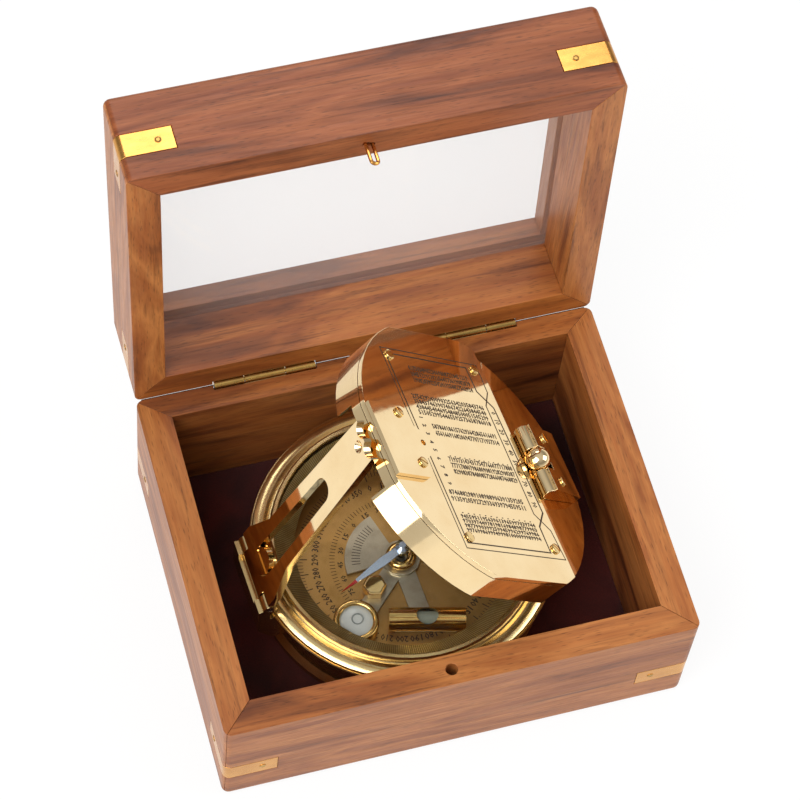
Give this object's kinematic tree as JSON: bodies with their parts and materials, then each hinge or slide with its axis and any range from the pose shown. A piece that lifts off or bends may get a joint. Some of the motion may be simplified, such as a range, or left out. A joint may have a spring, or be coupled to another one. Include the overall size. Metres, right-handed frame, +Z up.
{
  "type": "boxed pocket transit compass",
  "caption": "Brass folding compass with hinged table cover, sight arm, levels and clinometer, lying in a hinged hardwood box with a clear lid pane.",
  "frame": {"origin": "middle of the box's underside", "axes": "+X along the box front to the right, +Y from the front to the lid hinges at the back, +Z up"},
  "size_m": [0.13, 0.1347, 0.1418],
  "materials": {
    "base_front_wall": "satin varnish",
    "base_right_wall": "satin varnish",
    "base_back_wall": "satin varnish",
    "base_left_wall": "satin varnish",
    "base_strap_front_left": "polished",
    "base_strap_front_right": "polished",
    "base_strap_back_left": "polished",
    "base_strap_back_right": "polished",
    "bottom_board": "sanded",
    "velvet_lining": "short pile",
    "box_hinge_left_base_leaf": "polished",
    "box_hinge_left_pin": "polished",
    "box_hinge_left_lid_leaf": "polished",
    "box_hinge_right_base_leaf": "polished",
    "box_hinge_right_pin": "polished",
    "box_hinge_right_lid_leaf": "polished",
    "lid_front_wall": "satin varnish",
    "lid_right_wall": "satin varnish",
    "lid_back_wall": "satin varnish",
    "lid_left_wall": "satin varnish",
    "lid_strap_front_left": "polished",
    "lid_strap_front_right": "polished",
    "lid_strap_back_left": "polished",
    "lid_strap_back_right": "polished",
    "lid_pane": "clear",
    "catch_loop": "polished",
    "case_body": "mirror polished",
    "bezel_ring": "mirror polished",
    "crystal": "clear",
    "dial_plate": "satin, engraved",
    "graduated_ring": "satin, engraved",
    "pivot_post": "polished",
    "compass_needle": "polished, one end painted red",
    "clinometer_plate": "satin, engraved",
    "clinometer_lever": "polished",
    "round_level_cup": "polished",
    "round_level_vial": "clear",
    "tube_level_barrel": "polished",
    "tube_level_vial": "clear",
    "cover_hinge_lug": "mirror polished",
    "cover_hinge_pin": "polished",
    "cover_shell": "mirror polished",
    "table_plate": "mirror polished, engraved",
    "cover_mirror": "silvered",
    "tip_plate": "mirror polished",
    "sight_block": "mirror polished",
    "sight_block_ball": "mirror polished",
    "arm_hinge_lug": "mirror polished",
    "arm_hinge_pin": "polished",
    "sight_arm": "mirror polished",
    "sight_arm_screw": "polished"
  },
  "bodies": {
    "box_base": {"base_front_wall": "base_front_wall", "base_right_wall": "base_right_wall", "base_back_wall": "base_back_wall", "base_left_wall": "base_left_wall", "base_strap_front_left": "base_strap_front_left", "base_strap_front_right": "base_strap_front_right", "base_strap_back_left": "base_strap_back_left", "base_strap_back_right": "base_strap_back_right", "bottom_board": "bottom_board", "velvet_lining": "velvet_lining", "box_hinge_left_base_leaf": "box_hinge_left_base_leaf", "box_hinge_left_pin": "box_hinge_left_pin", "box_hinge_right_base_leaf": "box_hinge_right_base_leaf", "box_hinge_right_pin": "box_hinge_right_pin"},
    "box_lid": {"lid_front_wall": "lid_front_wall", "lid_right_wall": "lid_right_wall", "lid_back_wall": "lid_back_wall", "lid_left_wall": "lid_left_wall", "lid_strap_front_left": "lid_strap_front_left", "lid_strap_front_right": "lid_strap_front_right", "lid_strap_back_left": "lid_strap_back_left", "lid_strap_back_right": "lid_strap_back_right", "lid_pane": "lid_pane", "catch_loop": "catch_loop", "box_hinge_left_lid_leaf": "box_hinge_left_lid_leaf", "box_hinge_right_lid_leaf": "box_hinge_right_lid_leaf"},
    "compass_case": {"case_body": "case_body", "bezel_ring": "bezel_ring", "crystal": "crystal", "dial_plate": "dial_plate", "graduated_ring": "graduated_ring", "pivot_post": "pivot_post", "cover_hinge_lug": "cover_hinge_lug", "cover_hinge_pin": "cover_hinge_pin", "arm_hinge_lug": "arm_hinge_lug", "arm_hinge_pin": "arm_hinge_pin"},
    "needle": {"compass_needle": "compass_needle"},
    "clinometer": {"clinometer_plate": "clinometer_plate", "clinometer_lever": "clinometer_lever", "round_level_cup": "round_level_cup", "round_level_vial": "round_level_vial", "tube_level_barrel": "tube_level_barrel", "tube_level_vial": "tube_level_vial"},
    "cover": {"cover_shell": "cover_shell", "table_plate": "table_plate", "cover_mirror": "cover_mirror", "tip_plate": "tip_plate", "sight_block": "sight_block", "sight_block_ball": "sight_block_ball"},
    "sight_arm": {"sight_arm": "sight_arm", "sight_arm_screw": "sight_arm_screw"}
  },
  "joints": [
    {"name": "box_lid_hinge", "type": "hinge", "parent": "box_base", "child": "box_lid", "pos_m": [0, 0.0505, 0.041], "axis": [-1, 0, 0], "range_deg": [-50, 0]},
    {"name": "compass_lift", "type": "slide", "parent": "box_base", "child": "compass_case", "axis": [0, 0, 1], "range_m": [0, 0.06]},
    {"name": "cover_hinge", "type": "hinge", "parent": "compass_case", "child": "cover", "pos_m": [0.04238, 0.00505, 0.0264], "axis": [-0.1, 0.995, 0], "range_deg": [-43, 47]},
    {"name": "sight_arm_hinge", "type": "hinge", "parent": "compass_case", "child": "sight_arm", "pos_m": [-0.04363, -0.00176, 0.0281], "axis": [0.0565, -0.9984, 0], "range_deg": [-26, 24]},
    {"name": "needle_spin", "type": "hinge", "parent": "compass_case", "child": "needle", "pos_m": [-0.0019, 0.0006, 0.0193], "axis": [0, 0, 1], "continuous": true},
    {"name": "clinometer_turn", "type": "hinge", "parent": "compass_case", "child": "clinometer", "pos_m": [-0.0019, 0.0006, 0.011], "axis": [0, 0, 1], "range_deg": [-70, 109]}
  ],
  "couplings": [
    {"joint": "sight_arm_hinge", "follows": "cover_hinge", "ratio": -0.55}
  ]
}
